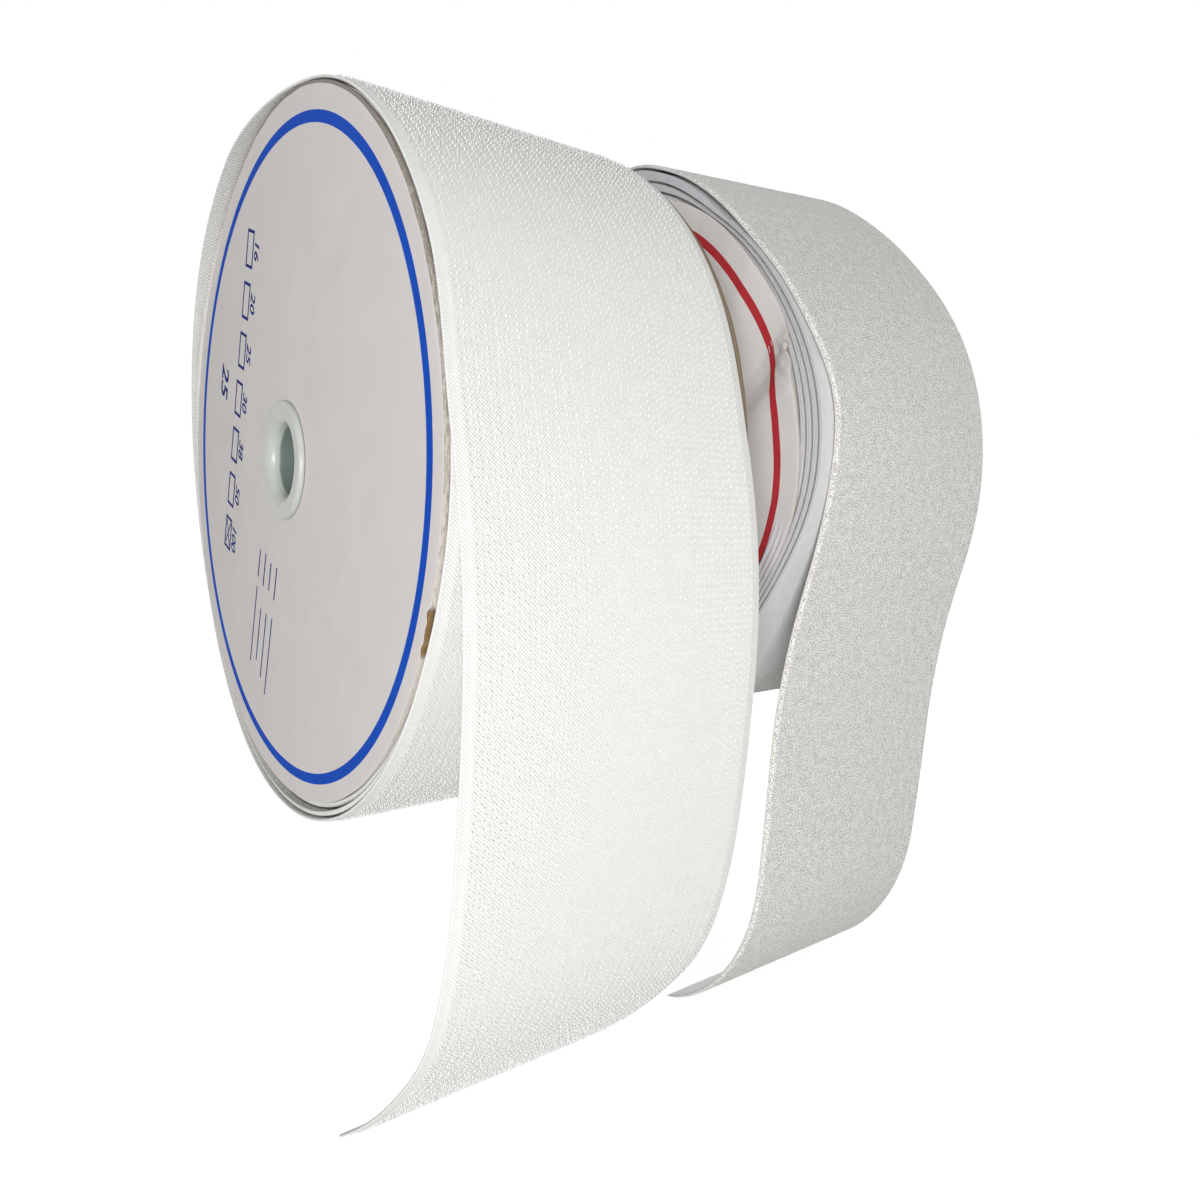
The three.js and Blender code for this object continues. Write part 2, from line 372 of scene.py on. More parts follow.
def hooks(name, route, first, last):
    """Bent filaments in rows: a three-sided section carried along an upright that curls over, one for
    each crossing of the rows along the tape and the columns across it, seeded a little out of line.
    Columns lean by turns to one end and the other."""
    rows = np.arange(first + 0.8, last - 0.4, ROW_PITCH)
    columns = np.arange(COLUMN_FIRST, COLUMN_LAST, COLUMN_PITCH)
    s, v = np.meshgrid(rows, columns, indexing="ij")
    rng = np.random.default_rng(int(first) + 7)
    s = (s + rng.normal(0, 0.13, s.shape)).ravel()
    v = (v + rng.normal(0, 0.22, v.shape)).ravel()
    way = np.tile(1 - 2 * (np.arange(len(columns)) % 2), len(rows))
    keep = s < last - 0.5
    s, v, way = s[keep], v[keep], way[keep]
    tall = rng.uniform(0.86, 1.04, len(s))

    at = np.stack([np.interp(s, route.length, route.points[:, k]) for k in (0, 1)], -1)
    up = np.stack([np.interp(s, route.length, route.normals[:, k]) for k in (0, 1)], -1)
    up /= np.linalg.norm(up, axis=1)[:, None]
    along = np.stack([-up[:, 1], up[:, 0]], -1) * -way[:, None]
    base = -HOOK_TALL
    spine = np.array([[0.0, base], [0.04, base * 0.4], [0.3, -0.02], [0.62, -0.34]])
    heading = np.array([[0.05, 1.0], [0.25, 0.97], [1.0, 0.05], [0.75, -0.66]])
    thick = np.array([0.19, 0.185, 0.17, 0.11])[:, None]
    turn = np.radians([90, 210, 330])[None, :]
    side, lift = np.cos(turn) * thick, np.sin(turn) * thick
    forth = spine[:, :1] - heading[:, 1:] * lift
    height = spine[:, 1:] + heading[:, :1] * lift
    height = base + (height - base) * tall[:, None, None]
    xz = (at[:, None, None, :] + along[:, None, None, :] * forth[None, ..., None]
          + up[:, None, None, :] * height[..., None])
    y = (v - np.interp(s, route.length, route.forward))[:, None, None] + side[None] + 0 * height
    grid = np.stack([xz[..., 0], y, xz[..., 1]], -1) + np.array(HOOK["at"])

    rings, sides = forth.shape
    tip = np.arange((rings - 1) * sides, rings * sides)[[0, 1, 2, 2]]
    one = np.concatenate([quads(rings, sides), tip[None]])
    faces = one[None] + rings * sides * np.arange(len(s))[:, None, None]
    return small_bodies(name, grid, faces.reshape(-1, 4), FILAMENT)


# Boards, labels, hubs and cores

def turned(name, roll, profile, steps, material, shape=None, raw=None):
    """A ring: a closed section of radius and y turned about the roll's axis. shape moves the points: it
    takes radius, angle and y arrays and gives radius and y back changed. raw gives each point's value of
    that name."""
    angle = np.linspace(0, 2 * np.pi, steps, endpoint=False)[:, None]
    r, y = (np.broadcast_to(np.asarray(profile, float)[:, k], (steps, len(profile))) for k in (0, 1))
    angle = np.broadcast_to(angle, r.shape)
    if shape is not None:
        r, y = shape(r, angle, y)
    grid = np.stack([r * np.cos(angle), y, r * np.sin(angle)], -1) + np.array(roll["at"])
    raw = None if raw is None else raw(r, angle)
    return build(name, grid, quads(steps, len(profile), True), [material], raw=raw)


def ragged(angle, seed, size):
    """A small uneven line round a cut card edge: a sum of sines of rising order with seeded phases."""
    rng = np.random.default_rng(seed)
    order = np.arange(7, 67, 5)
    phase, weight = rng.uniform(0, 6.28, len(order)), rng.uniform(0.3, 1, len(order)) / np.sqrt(order)
    return size * (np.sin(order * angle[..., None] + phase) * weight).sum(-1)


def torn(roll, angle, depth):
    """The torn place on a front board: two overlapping bites, bell curves of the angle, of uneven
    depth."""
    a = signed(np.degrees(angle)) - roll["torn_at"]
    wide = roll["torn_wide"]
    uneven = 0.7 + 0.3 * np.sin(2.3 * a)
    bite = np.exp(-(a / wide) ** 4)
    second = np.exp(-((a + 2.2 * wide) / (1.4 * wide)) ** 2)
    return depth * uneven * (bite + 0.8 * second)


def torn_card_and_top_shade(r, angle):
    """The hook roll's front board: raw grey card shows along the rim and its tan core at the torn place. The
    grey is strongest at the top, where it is partly painted shade of the gap under the tape."""
    rim = np.clip((r - 110) / 3, 0, 1)
    # More grey towards the top: raw card, and painted shade under the tape there
    cut = 0.28 + 0.35 * swell(angle, 75, 2)
    return np.maximum(rim * np.clip(torn(HOOK, angle, 2.6), 0, 1), cut * np.clip((r - 114.5) / 1.5, 0, 1))


def raw_rim(r, angle):
    """The rear boards are cut raw: pulp between grey and tan shows all round the outer millimetre."""
    return np.clip((r - r.max(axis=1, keepdims=True) + 1.2) / 0.8, 0, 1) * 0.82


def flat_lift(r, angle):
    """A nearly flat board, with the slow warp of damp card: it rises with the square of the radius."""
    return (r / 119) ** 2 * 0.35 * swell(2 * angle, 40, 1)


def creased_lift(r, angle):
    """The loop roll's creased board: folds run in from a torn place on the rim, so the lift goes up and
    down in straight steps with the angle. The folds lean: nearer to the rim they lie at a higher angle.
    Small crumples, folded sine waves, lie round the torn place."""
    degrees = signed(np.degrees(angle)) - 0.3 * (r - 101)
    fold = np.interp(degrees, (-45, -26, -14, -7, 0, 7, 13, 16, 21, 25, 31, 40, 48, 60),
                     (0, -0.5, -1.2, -1.3, -0.3, 1.1, 1.7, 1.3, -1.6, -2.6, -1.4, 0.9, 1.0, 0))
    x, z = r * np.cos(angle), r * np.sin(angle)
    near = np.exp(-((x - 101) / 7) ** 2 - ((z - 40) / 9) ** 2)
    crumple = near * (1.0 * np.abs(np.sin(0.5 * z + 0.4 * x)) + 0.7 * np.abs(np.sin(0.16 * z - 0.3 * x)))
    return fold * ease(r, 66, 101) + crumple


def disc(outer, near, far, rings):
    """The section of a flat ring, with its rim slightly rounded; near and far are its two faces."""
    thick = far - near
    radii = np.append(np.linspace(CORE_BORE, outer - 2.5, rings - 1), outer - 0.35)
    rim = [(outer - 0.1, near + 0.12 * thick), (outer, near + 0.35 * thick), (outer, far - 0.35 * thick),
           (outer - 0.1, far - 0.12 * thick)]
    return np.array([(r, near) for r in radii] + rim + [(r, far) for r in radii[::-1]])


def board(name, roll, side, radius, seed, lift=flat_lift, rings=14, steps=720, bites=0.0, raw=None,
          off=(0.0, 0.0)):
    """A card disc at one end of a roll: side is -1 in front and 1 behind. Its rim is cut a little
    unevenly, and off is how far the disc lies off the axis, and at which angle."""
    def shape(r, angle, y):
        """Adds the lift, cuts the rim by the uneven line and the bites, and moves the disc off the axis."""
        y = y + side * lift(r, angle)
        rim = np.clip((r - radius + 3) / 3, 0, 1)
        r = r - rim * (ragged(angle, seed, 0.22) + torn(roll, angle, bites))
        return r + off[0] * np.cos(angle - np.radians(off[1])) * ease(r, 30, radius - 3), y
    profile = disc(radius, BOARD_IN, BOARD_OUT, rings) * [1, side]
    return turned(name, roll, profile, steps, LINED_CARD, shape, raw)


def label(name, roll, radius, seed, material, bites, lift=flat_lift, rings=14):
    """The printed paper on a front board, bent with it and torn back further."""
    def shape(r, angle, y):
        """Adds the board's lift, and cuts the rim by the uneven line and the bites."""
        y = y - lift(r, angle)
        rim = np.clip((r - radius + 6) / 6, 0, 1)
        return r - rim * (ragged(angle, seed, 0.2) + torn(roll, angle, bites)), y
    profile = disc(radius, BOARD_OUT + 0.02, LABEL_OUT, rings) * [1, -1]
    return turned(name, roll, profile, 720, material, shape)


def hub(name, roll, side, seat_face):
    """A moulded bush: a flange with a rounded rim, a mouth that rolls over into the bore along a quarter of
    an ellipse, and the plug in the core tube. The wall round the bore is marked raw, which paints it darker
    than the flange: painted shade inside the bore."""
    under, top, end = seat_face + 0.3, seat_face + 2.3, seat_face - PLUG_LENGTH
    rim_radius = 1.3
    mouth_radius, mouth_wide, mouth_deep = 16.6, 4.2, 3.8
    quarter = np.radians(np.linspace(0, 90, 9))
    rim = rim_radius * np.stack([np.cos(quarter) - 1, np.sin(quarter) - 1], -1) + [FLANGE_RADIUS, top]
    quarter = np.radians(np.linspace(90, 180, 12))
    mouth = np.stack([mouth_radius + mouth_wide * np.cos(quarter),
                      top + mouth_deep * (np.sin(quarter) - 1)], -1)
    plug = [(HUB_BORE, end), (PLUG_RADIUS - 1, end), (PLUG_RADIUS, end + 2.5), (PLUG_RADIUS, under),
            (FLANGE_RADIUS - 0.2, under), (FLANGE_RADIUS, under + 0.2)]
    wall = [(HUB_BORE + 0.2, top - 4.4), (HUB_BORE, top - 5), (HUB_BORE, top - 12)]
    profile = np.concatenate([plug, rim, mouth, wall])
    # Points of the bore wall, whose colour is a painted shade
    painted_bore_shade = np.zeros(len(profile))
    painted_bore_shade[[0, -3, -2, -1]] = 1

    def raw(r, angle):
        """1 on the bore wall, where shade is painted, and 0 elsewhere, the same at every angle."""
        return np.broadcast_to(painted_bore_shade, r.shape)
    return turned(name, roll, profile * [1, side], 128, POLYPROPYLENE, raw=raw)


def core(name, roll):
    """The card tube that the tape is wound on, with slightly eased ends."""
    inner, outer = CORE_BORE, CORE_RADIUS
    front = [(inner, -HALF + 0.4), (inner + 0.3, -HALF), (outer - 0.3, -HALF), (outer, -HALF + 0.4)]
    rear = [(r, -y) for r, y in front[::-1]]
    return turned(name, roll, np.array(front + rear), 96, LINED_CARD)


# Materials

def linear(code):
    """sRGB hex to linear colour."""
    c = np.array([int(code[k:k + 2], 16) for k in (1, 3, 5)]) / 255
    return (*np.where(c <= 0.04045, c / 12.92, ((c + 0.055) / 1.055) ** 2.4).tolist(), 1.0)


def wire(tree, node, inputs):
    """Sets a node's inputs, by name or number: a socket is linked, a node stands for its first output,
    and anything else is a value."""
    for key, value in inputs.items():
        if isinstance(value, bpy.types.Node):
            value = value.outputs[0]
        if isinstance(value, bpy.types.NodeSocket):
            tree.links.new(value, node.inputs[key])
        else:
            node.inputs[key].default_value = value


def add(tree, kind, inputs=None, **settings):
    """Adds a node of a kind, whose name follows ShaderNode, with its properties set and its inputs
    wired."""
    node = tree.nodes.new("ShaderNode" + kind)
    for key, value in settings.items():
        setattr(node, key, value)
    wire(tree, node, inputs or {})
    return node


def surface(name, **values):
    """A new material with its Principled shader set to plain values; returns it, its tree and the
    shader."""
    material = bpy.data.materials.new(name)
    material.use_nodes = True
    tree = material.node_tree
    shader = tree.nodes["Principled BSDF"]
    wire(tree, shader, {key.replace("_", " "): value for key, value in values.items()})
    return material, tree, shader


def woven(name, colour, shade, rib, relief, rough, sheen):
    """Woven nylon tape, seen as fine ribs that cross, rib mm apart: warp along the tape and weft across
    it, with an uneven tone over about 5 mm."""
    material, tree, shader = surface(name, Roughness=rough, Sheen_Weight=sheen, Sheen_Roughness=0.5)
    uv = add(tree, "UVMap", uv_map="tape")
    split = add(tree, "SeparateXYZ", {0: uv})
    weft = add(tree, "Math", {0: split.outputs["X"], 1: 2 * np.pi / rib}, operation="MULTIPLY")
    warp = add(tree, "Math", {0: split.outputs["Y"], 1: 2 * np.pi / rib}, operation="MULTIPLY")
    weft = add(tree, "Math", {0: weft}, operation="SINE")
    warp = add(tree, "Math", {0: warp}, operation="SINE")
    cross = add(tree, "Math", {0: weft, 1: warp}, operation="MULTIPLY")
    uneven = add(tree, "TexNoise", {"Vector": uv, "Scale": 1 / 4.5, "Detail": 4.0})
    tone = add(tree, "Math", {0: cross, 1: 0.22, 2: uneven}, operation="MULTIPLY_ADD")
    colours = add(tree, "MixRGB", {0: tone, 1: linear(shade), 2: linear(colour)})
    bump = add(tree, "Bump", {"Strength": 0.6, "Distance": relief * MM, "Height": cross})
    wire(tree, shader, {"Base Color": colours, "Normal": bump})
    return material


def napped(name):
    """Brushed nylon loop pile: a soft felt of fine loops, mottled, with brighter specks where loops catch
    the light. Single loops are under a pixel, so the specks are drawn about 1 mm apart."""
    material, tree, shader = surface(name, Roughness=0.9, Sheen_Weight=0.25, Sheen_Roughness=0.4)
    uv = add(tree, "UVMap", uv_map="tape")
    clump = add(tree, "TexNoise", {"Vector": uv, "Scale": 1 / 3.3, "Detail": 3.0, "Roughness": 0.6})
    fine = add(tree, "TexNoise", {"Vector": uv, "Scale": 1 / 0.56, "Detail": 1.5, "Roughness": 0.7})
    felt = add(tree, "Math", {0: clump, 1: 0.22, 2: fine}, operation="MULTIPLY_ADD")
    tone = add(tree, "MapRange", {0: felt, 1: 0.52, 2: 0.69})
    colours = add(tree, "MixRGB", {0: tone, 1: linear("#bab7ae"), 2: linear("#fffefb")})
    speck = add(tree, "MapRange", {0: fine, 1: 0.58, 2: 0.64})
    bright = add(tree, "MixRGB", {0: speck, 1: colours, 2: linear("#ffffff")})
    bump = add(tree, "Bump", {"Strength": 0.8, "Distance": 0.35 * MM, "Height": felt})
    wire(tree, shader, {"Base Color": bright, "Normal": bump})
    return material


def printed_paper(name, at, ring_radius, ring_half, ink_pale, ink_dark):
    """Coated label paper, offset printed: a matt grey white with faint mottle over about 17 mm, a fine
    grain, and one ring of ink near the rim."""
    material, tree, shader = surface(name, Roughness=0.62, Specular_IOR_Level=0.05)
    spot = add(tree, "TexCoord").outputs["Object"]
    local = add(tree, "Mapping", {"Vector": spot, "Location": tuple(-MM * c for c in at)})
    flat = add(tree, "VectorMath", {0: local, 1: (1, 0, 1)}, operation="MULTIPLY")
    radius = add(tree, "VectorMath", {0: flat}, operation="LENGTH").outputs["Value"]
    off = add(tree, "Math", {0: radius, 1: ring_radius * MM}, operation="SUBTRACT")
    off = add(tree, "Math", {0: off}, operation="ABSOLUTE")
    ring = add(tree, "MapRange", {0: off, 1: (ring_half + 0.05) * MM, 2: (ring_half - 0.05) * MM})
    mottle = add(tree, "TexNoise", {"Vector": spot, "Scale": 1 / (17 * MM), "Detail": 6.0})
    paper = add(tree, "MixRGB", {0: mottle, 1: linear("#d8d2d0"), 2: linear("#e2dedc")})
    inked = add(tree, "MixRGB", {0: mottle, 1: linear(ink_dark), 2: linear(ink_pale)})
    both = add(tree, "MixRGB", {0: ring, 1: paper, 2: inked})
    grain = add(tree, "TexNoise", {"Vector": spot, "Scale": 1 / (1.1 * MM), "Detail": 2.0})
    bump = add(tree, "Bump", {"Strength": 0.15, "Distance": 0.05 * MM, "Height": grain})
    wire(tree, shader, {"Base Color": both, "Normal": bump})
    return material


def ink(name):
    """Blue printing ink on paper, matt, a little uneven over 2 mm."""
    material, tree, shader = surface(name, Roughness=0.6, Specular_IOR_Level=0.05)
    spot = add(tree, "TexCoord").outputs["Object"]
    uneven = add(tree, "TexNoise", {"Vector": spot, "Scale": 1 / (2 * MM), "Detail": 2.0})
    tone = add(tree, "MixRGB", {0: uneven, 1: linear("#101c66"), 2: linear("#22307c")})
    wire(tree, shader, {"Base Color": tone})
    return material


def card(name):
    """Pressed card: grey brown pulp fibres, about 2 mm long, under a pale liner. raw is 0.3 to 0.7 where
    the liner is worn or cut through, and from 0.72 the tan core of the card shows."""
    material, tree, shader = surface(name, Roughness=0.92, Specular_IOR_Level=0.3)
    spot = add(tree, "TexCoord").outputs["Object"]
    stretch = add(tree, "Mapping", {"Vector": spot, "Scale": (1.0, 4.0, 1.0)})
    fibre = add(tree, "TexNoise",
                {"Vector": stretch, "Scale": 1 / (2.4 * MM), "Detail": 8.0, "Roughness": 0.7})
    grey = add(tree, "MixRGB", {0: fibre, 1: linear("#787069"), 2: linear("#a69d94")})
    tan = add(tree, "MixRGB", {0: fibre, 1: linear("#57452b"), 2: linear("#a08155")})
    liner = add(tree, "MixRGB", {0: fibre, 1: linear("#c2bab1"), 2: linear("#d6d0c9")})
    raw = add(tree, "Attribute", attribute_name="raw").outputs["Fac"]
    deep = add(tree, "MapRange", {0: raw, 1: 0.72, 2: 0.9})
    pulp = add(tree, "MixRGB", {0: deep, 1: grey, 2: tan})
    edge = add(tree, "Math", {0: fibre, 1: raw}, operation="ADD")
    bare = add(tree, "MapRange", {0: edge, 1: 0.85, 2: 1.05})
    both = add(tree, "MixRGB", {0: bare, 1: liner, 2: pulp})
    bump = add(tree, "Bump", {"Strength": 0.5, "Distance": 0.15 * MM, "Height": fibre})
    wire(tree, shader, {"Base Color": both, "Normal": bump})
    return material


def moulded(name):
    """Moulded white polypropylene: waxy, with the faint pebble of the mould, about 8 mm across. The bore
    wall, marked raw, is painted grey green as the shade inside the bore."""
    material, tree, shader = surface(name, Roughness=0.34, IOR=1.49)
    spot = add(tree, "TexCoord").outputs["Object"]
    cloud = add(tree, "TexNoise", {"Vector": spot, "Scale": 1 / (8 * MM), "Detail": 3.0})
    white = add(tree, "MixRGB", {0: cloud, 1: linear("#b7bab5"), 2: linear("#c7cbc5")})
    # The raw attribute marks the bore wall, painted grey green: painted shade inside the bore
    painted_bore_shade = add(tree, "Attribute", attribute_name="raw").outputs["Fac"]
    tone = add(tree, "MixRGB", {0: painted_bore_shade, 1: white, 2: linear("#6f7a74")})
    bump = add(tree, "Bump", {"Strength": 0.12, "Distance": 0.1 * MM, "Height": cloud})
    wire(tree, shader, {"Base Color": tone, "Normal": bump})
    return material


HOOK_GROUND = woven("woven_nylon_hook_ground", "#f3f3f0", "#e9e9e5",
                    rib=1.1, relief=0.12, rough=0.62, sheen=0.1)
HOOK_BACK = woven("woven_nylon_hook_back", "#e0dfdc", "#cac9c5", rib=1.7, relief=0.16, rough=0.6, sheen=0.1)
HOOK_EDGE = woven("woven_nylon_hook_edge", "#efefed", "#e2e2de", rib=1.1, relief=0.06, rough=0.6, sheen=0.1)
LOOP_BACK = woven("woven_nylon_loop_back", "#e4e3e2", "#d8d7d6", rib=1.0, relief=0.06, rough=0.5, sheen=0.15)
LOOP_EDGE = woven("woven_nylon_loop_edge", "#cfcdd2", "#bab8bf", rib=0.9, relief=0.1, rough=0.7, sheen=0.1)
LOOP_PILE = napped("brushed_nylon_loop_pile")
# Drawn nylon filament is smooth, so each hook has its own small highlight
FILAMENT = surface("drawn_nylon_hook_filament", Base_Color=linear("#f6f6f4"), Roughness=0.15, IOR=1.53)[0]
# The blue ring is printed a little off the board's middle
HOOK_PAPER = printed_paper("offset_printed_paper_blue", (1.3, 0.0, -0.6), 108.7, 1.8, "#1a55c4", "#1346b2")
LOOP_PAPER = printed_paper("offset_printed_paper_red", LOOP["at"], 101.0, 1.6, "#c43a40", "#a83038")
INK = ink("offset_ink_blue")
LINED_CARD = card("lined_pressed_card")
POLYPROPYLENE = moulded("moulded_polypropylene")
HOOK_TAPE = [HOOK_GROUND, HOOK_BACK, HOOK_EDGE]
LOOP_TAPE = [LOOP_PILE, LOOP_BACK, LOOP_EDGE]


# Pieces of both rolls

def seat(piece, body, node=None):
    """Puts a piece on its body, and hides the CAD node, if any, that it stands for."""
    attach(piece, body)
    if node:
        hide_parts(node)


def inner_winding(roll, materials):
    """The hidden turns, from 1 mm off the core to the outer winding."""
    name, reach = roll["name"], HALF - roll["selvage"]
    first = -np.floor((roll["radius"] - roll["turns"] * pitch(roll) - CORE_RADIUS - 1) / pitch(roll))
    route = wound(roll, np.linspace(first, 0, int(-first * INNER_ROUND) + 1))
    strip = section(roll, roll["selvage"], 2)
    piece = tape(f"{name}_inner_winding", roll, route, strip, materials, (reach, reach))
    seat(piece, f"{name}_roll", f"{name}_inner_turns")


def outer_winding(roll, strip, materials, *rooms):
    """The loose turns outside the boards, all but the last, with the rooms between them filled."""
    name, reach = roll["name"], HALF - roll["selvage"]
    t = np.linspace(0, roll["turns"] - 1, (roll["turns"] - 1) * ROUND + 1)
    fill = sum(filled(roll, t, turn_radius(roll, t + 1), strip[0], room) for room in rooms)
    piece = tape(f"{name}_outer_winding", roll, wound(roll, t), strip, materials, (reach, reach), fill)
    seat(piece, f"{name}_roll", f"{name}_outer_turns")


def bend(roll, length):
    """Where a tail bends when it is lifted, in metres: from its leaving line to a length along the
    tangent."""
    leave = np.radians(roll["leave"])
    way = np.array([np.sin(leave), 0, -np.cos(leave)])
    out = np.array([np.cos(leave), 0, np.sin(leave)])
    hinge = np.array(roll["at"]) + turn_radius(roll, roll["turns"]) * out
    return tuple(hinge * MM), tuple((hinge + length * way) * MM)


# The hook roll

hook_flat = section(HOOK, HOOK["selvage"], 9)
hook_bare = (hook_flat[0], np.minimum(hook_flat[1], HOOK_FOOT), hook_flat[2])
inner_winding(HOOK, [HOOK_BACK] * 3)
outer_winding(HOOK, hook_flat, HOOK_TAPE, HOOK_LOOSE_ROOM, HOOK_SUNK_ROOM)

last_route = wound(HOOK, np.linspace(HOOK["turns"] - 1, HOOK["turns"], ROUND + 1))
hook_last = tape("hook_last_turn", HOOK, last_route, hook_bare, HOOK_TAPE, (HALF, HALF))
seat(hook_last, "hook_roll")
FIELDS = 3
ends = np.linspace(0, last_route.length[-1], FIELDS + 1)
for k in range(FIELDS):
    seat(hooks(f"hook_field_{k + 1}", last_route, ends[k], ends[k + 1]), "hook_roll")

tail_route = hung(HOOK, HOOK_STEP)
hook_tail = tape("hook_tail_tape", HOOK, tail_route, hook_bare, HOOK_TAPE, (HALF, HALF))
hook_tail_field = hooks("hook_tail_field", tail_route, 0, tail_route.length[-1])
start, end = bend(HOOK, HOOK_BEND)
for piece in (hook_tail, hook_tail_field):
    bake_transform(piece)
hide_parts("hook_tail")

piece = board("hook_front_card", HOOK, -1, 117.9, seed=3, bites=1.0, raw=torn_card_and_top_shade, off=(0.75, 95))
seat(piece, "hook_roll", "hook_board_front")
piece = label("hook_front_paper", HOOK, 117.5, seed=4, material=HOOK_PAPER, bites=1.8)
seat(piece, "hook_roll", "hook_label_front")
piece = board("hook_rear_card", HOOK, 1, 118.3, seed=5, steps=360, raw=raw_rim, off=(0.5, 12))
seat(piece, "hook_roll", "hook_board_rear")


# The loop roll

def loop_last_turn(tail_route):
    """The last loop turn. Its selvages narrow over its last half to those of the tail. Over part of its
    front half the pile is pressed flat and reaches less far forward, so that a strip shows the paler bare
    weave: painted light on that face. The pile fills the room up to the tail's front edge."""
    wide = section(LOOP, LOOP_LAST_SELVAGE, LOOP_PLACES)
    narrow = section(LOOP, LOOP_TAIL_SELVAGE, LOOP_PLACES)
    t = np.linspace(LOOP["turns"] - 1, LOOP["turns"], LAST_ROUND + 1)
    narrowing = ease(t, *LOOP_NARROWING)[:, None]
    across, top, under = ((1 - narrowing) * a + narrowing * b for a, b in zip(wide, narrow))
    pressed_painted_light = between(t, *LOOP_PRESSED_PAINTED_LIGHT)[:, None]
    pressed = pressed_painted_light * ease(-wide[0], 5, 20)
    top = top + pressed * np.minimum(PRESSED_TOP - top, 0)
    front_edge = (tail_route.points + tail_route.normals * tail_route.edges[0][:, None])[:100]
    edge_angle = np.degrees(np.arctan2(front_edge[:, 1], front_edge[:, 0]))
    above = np.interp(turn_angle(LOOP, t), edge_angle[::-1], np.hypot(*front_edge.T)[::-1])
    fill = filled(LOOP, t, above, wide[0], LOOP_LOOSE_ROOM) * (t < 5.5)[:, None]
    fuzz = nap(len(t), wide[0], HALF - LOOP_LAST_SELVAGE, 11) * (1 - pressed) + fill
    reach = HALF - LOOP_LAST_SELVAGE * (1 - narrowing[:-1])
    # A front strip shows the paler bare weave instead of pile: painted light
    reach = reach - PAINTED_LIGHT_WIDE * pressed_painted_light[:-1], reach
    return tape("loop_last_turn", LOOP, wound(LOOP, t), (across, top, under), LOOP_TAPE, reach, fuzz)


inner_winding(LOOP, [LOOP_BACK, LOOP_BACK, LOOP_EDGE])
outer_winding(LOOP, section(LOOP, LOOP["selvage"], 5), LOOP_TAPE, LOOP_LOOSE_ROOM)

tail_route = hung(LOOP, LOOP_STEP)
seat(loop_last_turn(tail_route), "loop_roll")

loop_full = section(LOOP, LOOP_TAIL_SELVAGE, LOOP_PLACES)
loop_nap = nap(len(tail_route.points), loop_full[0], LOOP_TAIL_NAP, 12)
loop_tail = tape("loop_tail_tape", LOOP, tail_route, loop_full, LOOP_TAPE, (HALF, HALF), loop_nap)
start, end = bend(LOOP, LOOP_BEND)
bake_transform(loop_tail)
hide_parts("loop_tail")

piece = board("loop_front_card", LOOP, -1, 110.2, seed=6, lift=creased_lift, rings=60, bites=2.2)
seat(piece, "loop_roll", "loop_board_front")
piece = label("loop_front_paper", LOOP, 110.3, seed=7, material=LOOP_PAPER, bites=3.0,
              lift=creased_lift, rings=60)
seat(piece, "loop_roll", "loop_label_front")
piece = board("loop_rear_card", LOOP, 1, 110.3, seed=8, steps=360, raw=raw_rim)
seat(piece, "loop_roll", "loop_board_rear")

for roll in (HOOK, LOOP):
    name = roll["name"]
    for side, seat_face, end in ((-1, LABEL_OUT, "front"), (1, BOARD_OUT, "rear")):
        piece = hub(f"{name}_{end}_bush", roll, side, seat_face)
        seat(piece, f"{name}_hubs", f"{name}_hub_{end}")
    seat(core(f"{name}_card_tube", roll), f"{name}_roll", f"{name}_core_tube")


# Printed marks on the hook roll's label

# The print's own axes run along its reading direction and across it
READING = np.radians(73.651)
BOX_FIRST, BOX_PITCH, BOX_ACROSS = -61.9, 18.65, -59.5
BOX_LONG, BOX_WIDE, BOX_LINE = 13.0, 8.4, 1.2
BOX_NUMBERS = ("16", "20", "25", "30", "38", "50", "100")
NUMBER_FIRST, NUMBER_ACROSS, NUMBER_SIZE = -62.5, -53.9, 7.5
LARGE_NUMBER = ("25", 13.0, -8.0, -84.0)
RULED_FIRST, RULED_PITCH = 2.0, 6.5


def lay_on_label(along, across):
    """The print's axes turned by the reading direction onto the label, 0.03 mm above the lifted paper."""
    x = -np.cos(READING) * along + np.sin(READING) * across
    z = -np.sin(READING) * along - np.cos(READING) * across
    y = -LABEL_OUT - 0.03 - flat_lift(np.hypot(x, z), np.arctan2(z, x))
    return np.stack([x, y, z], -1)


def marks(name):
    """Generic marks on the label: a column of tick boxes, the last one ticked, and blank ruled lines.
    Each is a bar given by its middle, length, width and turn, made as a quad with an array formula."""
    bars = []
    for k in range(len(BOX_NUMBERS)):
        a, b = BOX_FIRST + BOX_PITCH * k, BOX_ACROSS
        bars += [(a, b + side, BOX_LONG, BOX_LINE, 0) for side in (-3.6, 3.6)]
        bars += [(a + side, b, BOX_LINE, BOX_WIDE, 0) for side in (-6.2, 6.2)]
    bars += [(a, b, 11.0, 0.9, turn) for turn in (28, -28)]
    for k in range(4):
        bars.append((46.0, RULED_FIRST - RULED_PITCH * k, 13.0 - 2 * (k % 2), 1.1, 0))
    for k in range(4):
        bars.append((76.0 - 1.5 * k, RULED_FIRST - RULED_PITCH * k, 32.0 - 5 * (k % 3), 1.0, 0))
    a, b, long, wide, turn = np.array(bars, float).T[:, :, None]
    turn = np.radians(turn)
    u = np.array([-0.5, 0.5, 0.5, -0.5]) * long
    v = np.array([-0.5, -0.5, 0.5, 0.5]) * wide
    points = lay_on_label(a + u * np.cos(turn) - v * np.sin(turn), b + u * np.sin(turn) + v * np.cos(turn))
    faces = np.arange(4 * len(bars)).reshape(-1, 4)
    return small_bodies(name, points, faces[:, ::-1], INK)


